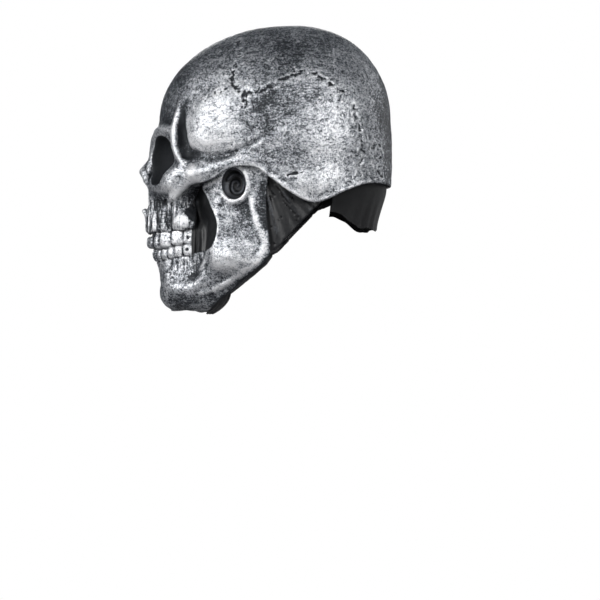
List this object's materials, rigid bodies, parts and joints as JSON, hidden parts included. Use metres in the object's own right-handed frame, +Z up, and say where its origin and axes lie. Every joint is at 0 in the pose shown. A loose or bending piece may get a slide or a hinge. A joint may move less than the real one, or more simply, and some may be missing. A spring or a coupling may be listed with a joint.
{
  "type": "skull mask",
  "caption": "Over-the-head silver skull mask of thin latex castings, with a hinged lower jaw, mesh eyes, dark cheek and neck skins and a black cloth nape panel.",
  "frame": {"origin": "middle of the wearer's head inside the mask, on the midplane, at the height of the ear holes", "axes": "+Z up along the wearer's head, the face looks towards -Y, +X towards the wearer's left"},
  "size_m": [0.1678, 0.2327, 0.2666],
  "materials": {
    "silver_latex": "dry-brushed metallic silver over dark gunmetal latex, semi-gloss",
    "tooth_latex": "dry-brushed silver latex, semi-gloss, dark in the gaps",
    "dark_latex": "charcoal latex, satin",
    "screen_mesh": "black see-through mesh",
    "black_fabric": "black stretch jersey",
    "grey_foam": "charcoal open-cell foam",
    "black_elastic": "black woven elastic",
    "rivet_steel": "black oxide",
    "washer_nylon": "black nylon"
  },
  "bodies": {
    "skull": {"skull_shell": "silver_latex", "upper_teeth": "tooth_latex", "eye_mesh_left": "screen_mesh", "eye_mesh_right": "screen_mesh", "nose_mesh": "screen_mesh", "nape_seam_tape": "black_fabric", "crown_pad": "grey_foam", "brow_pad": "grey_foam", "occiput_pad": "grey_foam", "jaw_rivet_left": "rivet_steel", "jaw_rivet_right": "rivet_steel"},
    "jaw": {"jaw_shell": "silver_latex", "lower_teeth": "tooth_latex", "ear_cup_left": "dark_latex", "ear_cup_right": "dark_latex", "cheek_gusset_left": "dark_latex", "cheek_gusset_right": "dark_latex", "neck_skirt_left": "dark_latex", "neck_skirt_right": "dark_latex", "chin_cup": "grey_foam", "chin_strap": "black_elastic", "pivot_washer_left": "washer_nylon", "pivot_washer_right": "washer_nylon"},
    "nape_flap": {"nape_panel": "black_fabric"}
  },
  "joints": [
    {"name": "jaw_hinge", "type": "hinge", "parent": "skull", "child": "jaw", "pos_m": [0, -0.008, 0.011], "axis": [1, 0, 0], "range_deg": [0, 12], "stiffness_Nm_per_rad": 0.5, "springref_deg": -14.32},
    {"name": "nape_flap_swing", "type": "hinge", "parent": "skull", "child": "nape_flap", "pos_m": [0, 0.1128, -0.0128], "axis": [1, 0, 0], "range_deg": [0, 25], "stiffness_Nm_per_rad": 0.01, "springref_deg": -11.46}
  ]
}
